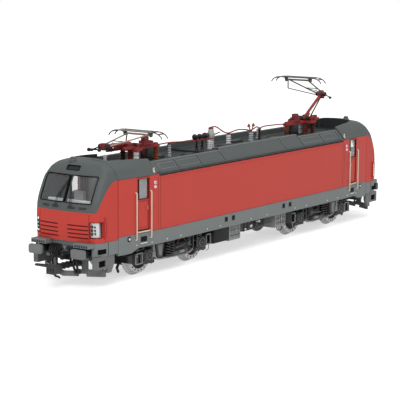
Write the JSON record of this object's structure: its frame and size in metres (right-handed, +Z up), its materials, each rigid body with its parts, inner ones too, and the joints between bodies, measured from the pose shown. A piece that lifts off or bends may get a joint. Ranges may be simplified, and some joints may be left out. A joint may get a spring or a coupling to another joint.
{
  "type": "H0 scale model electric locomotive",
  "caption": "Scale model four-axle electric locomotive with hollow cabs, two swivelling bogies, turning wheelsets, swinging loop couplers and jointed single-arm pantographs.",
  "frame": {"origin": "on the floor under the middle of the model, at the underside of the wheel flanges", "axes": "+X along the model towards the end with the raised pantograph, +Y across, +Z up"},
  "size_m": [0.23, 0.0358, 0.0673],
  "materials": {
    "red_paint": "satin",
    "cab_paint": "satin",
    "grey_paint": "satin",
    "sill_paint": "satin",
    "dark_plastic": "matt",
    "link_grey": "matt",
    "case_grey": "matt",
    "clear_plastic": "polished",
    "cream_plastic": "satin",
    "cab_grey": "matt",
    "buffer_metal": "satin",
    "hose_black": "matt",
    "coupler_black": "matt",
    "pantograph_red": "satin",
    "bare_metal": "brushed",
    "rod_dark": "satin",
    "insulator_white": "gloss",
    "breaker_black": "gloss",
    "cast_weight": "as cast",
    "wheel_metal": "bright"
  },
  "bodies": {
    "body": {"air_gear": "dark_plastic", "buffers_front": "buffer_metal", "buffers_rear": "buffer_metal", "cab_interior_front": "cab_grey", "cab_interior_rear": "cab_grey", "cab_mask_front": "cab_paint", "cab_mask_rear": "cab_paint", "cab_roof_front": "grey_paint", "cab_roof_rear": "grey_paint", "circuit_breaker": "breaker_black", "corner_steps_front": "grey_paint", "corner_steps_rear": "grey_paint", "door_glass": "clear_plastic", "doors": "red_paint", "end_beam_front": "grey_paint", "end_beam_rear": "grey_paint", "handrails": "cream_plastic", "hoses_front": "hose_black", "hoses_rear": "hose_black", "lamps_front": "clear_plastic", "lamps_rear": "clear_plastic", "pantograph_base_front": "pantograph_red", "pantograph_base_rear": "pantograph_red", "plough_front": "grey_paint", "plough_rear": "grey_paint", "roof_conductor": "pantograph_red", "roof_deck": "dark_plastic", "roof_insulators": "insulator_white", "roof_panels_left": "grey_paint", "roof_panels_right": "grey_paint", "side_wall_left": "red_paint", "side_wall_right": "red_paint", "underfloor_cases": "case_grey", "underframe": "sill_paint", "weight": "cast_weight", "windscreen_front": "clear_plastic", "windscreen_rear": "clear_plastic"},
    "bogie_front": {"bogie_frame_front": "dark_plastic", "axle_boxes_front": "dark_plastic", "bogie_links_front": "link_grey"},
    "pan_lower_front": {"lower_arm_front": "pantograph_red"},
    "pan_upper_front": {"upper_arm_front": "bare_metal"},
    "pan_head_front": {"contact_head_front": "bare_metal"},
    "pan_rod_front": {"guide_rod_front": "rod_dark"},
    "coupler_front": {"coupler_front": "coupler_black"},
    "bogie_rear": {"bogie_frame_rear": "dark_plastic", "axle_boxes_rear": "dark_plastic", "bogie_links_rear": "link_grey"},
    "pan_lower_rear": {"lower_arm_rear": "pantograph_red"},
    "pan_upper_rear": {"upper_arm_rear": "bare_metal"},
    "pan_head_rear": {"contact_head_rear": "bare_metal"},
    "pan_rod_rear": {"guide_rod_rear": "rod_dark"},
    "coupler_rear": {"coupler_rear": "coupler_black"},
    "axle_1": {"wheelset_1": "wheel_metal"},
    "axle_2": {"wheelset_2": "wheel_metal"},
    "axle_3": {"wheelset_3": "wheel_metal"},
    "axle_4": {"wheelset_4": "wheel_metal"}
  },
  "joints": [
    {"name": "bogie_swivel_front", "type": "hinge", "parent": "body", "child": "bogie_front", "pos_m": [-0.0546, 0, 0.0162], "axis": [0, 0, 1], "range_deg": [-9, 9]},
    {"name": "coupler_swing_front", "type": "hinge", "parent": "body", "child": "coupler_front", "pos_m": [-0.0955, 0, 0.0078], "axis": [0, 0, 1], "range_deg": [-10, 10]},
    {"name": "pan_raise_front", "type": "hinge", "parent": "body", "child": "pan_lower_front", "pos_m": [-0.0638, 0, 0.0484], "axis": [0, 1, 0], "range_deg": [0, 47]},
    {"name": "pan_knee_front", "type": "hinge", "parent": "pan_lower_front", "child": "pan_upper_front", "pos_m": [-0.08058, 0, 0.04928], "axis": [0, 1, 0], "range_deg": [-65.93, 0]},
    {"name": "pan_top_front", "type": "hinge", "parent": "pan_upper_front", "child": "pan_head_front", "pos_m": [-0.05958, 0, 0.05223], "axis": [0, 1, 0], "range_deg": [0, 18.93]},
    {"name": "pan_guide_front", "type": "hinge", "parent": "body", "child": "pan_rod_front", "pos_m": [-0.0725, 0, 0.0472], "axis": [0, 1, 0], "range_deg": [0, 53.32]},
    {"name": "bogie_swivel_rear", "type": "hinge", "parent": "body", "child": "bogie_rear", "pos_m": [0.0546, 0, 0.0162], "axis": [0, 0, 1], "range_deg": [-9, 9]},
    {"name": "coupler_swing_rear", "type": "hinge", "parent": "body", "child": "coupler_rear", "pos_m": [0.0955, 0, 0.0078], "axis": [0, 0, 1], "range_deg": [-10, 10]},
    {"name": "pan_raise_rear", "type": "hinge", "parent": "body", "child": "pan_lower_rear", "pos_m": [0.0638, 0, 0.0484], "axis": [0, -1, 0], "range_deg": [-32.8, 14.2]},
    {"name": "pan_knee_rear", "type": "hinge", "parent": "pan_lower_rear", "child": "pan_upper_rear", "pos_m": [0.07743, 0, 0.05823], "axis": [0, -1, 0], "range_deg": [-20.13, 46.1]},
    {"name": "pan_top_rear", "type": "hinge", "parent": "pan_upper_rear", "child": "pan_head_rear", "pos_m": [0.05763, 0, 0.06582], "axis": [0, -1, 0], "range_deg": [-13.3, 5.93]},
    {"name": "pan_guide_rear", "type": "hinge", "parent": "body", "child": "pan_rod_rear", "pos_m": [0.0725, 0, 0.0472], "axis": [0, -1, 0], "range_deg": [-37.3, 16.32]},
    {"name": "axle_spin_1", "type": "hinge", "parent": "bogie_front", "child": "axle_1", "pos_m": [-0.07185, 0, 0.0082], "axis": [0, 1, 0], "continuous": true},
    {"name": "axle_spin_2", "type": "hinge", "parent": "bogie_front", "child": "axle_2", "pos_m": [-0.03735, 0, 0.0082], "axis": [0, 1, 0], "continuous": true},
    {"name": "axle_spin_3", "type": "hinge", "parent": "bogie_rear", "child": "axle_3", "pos_m": [0.03735, 0, 0.0082], "axis": [0, 1, 0], "continuous": true},
    {"name": "axle_spin_4", "type": "hinge", "parent": "bogie_rear", "child": "axle_4", "pos_m": [0.07185, 0, 0.0082], "axis": [0, 1, 0], "continuous": true}
  ],
  "couplings": [
    {"joint": "pan_knee_front", "follows": "pan_raise_front", "ratio": -1.3963},
    {"joint": "pan_top_front", "follows": "pan_raise_front", "ratio": 0.39634},
    {"joint": "pan_guide_front", "follows": "pan_raise_front", "ratio": 1.1281},
    {"joint": "pan_knee_rear", "follows": "pan_raise_rear", "ratio": -1.3963},
    {"joint": "pan_top_rear", "follows": "pan_raise_rear", "ratio": 0.39634},
    {"joint": "pan_guide_rear", "follows": "pan_raise_rear", "ratio": 1.1281}
  ]
}
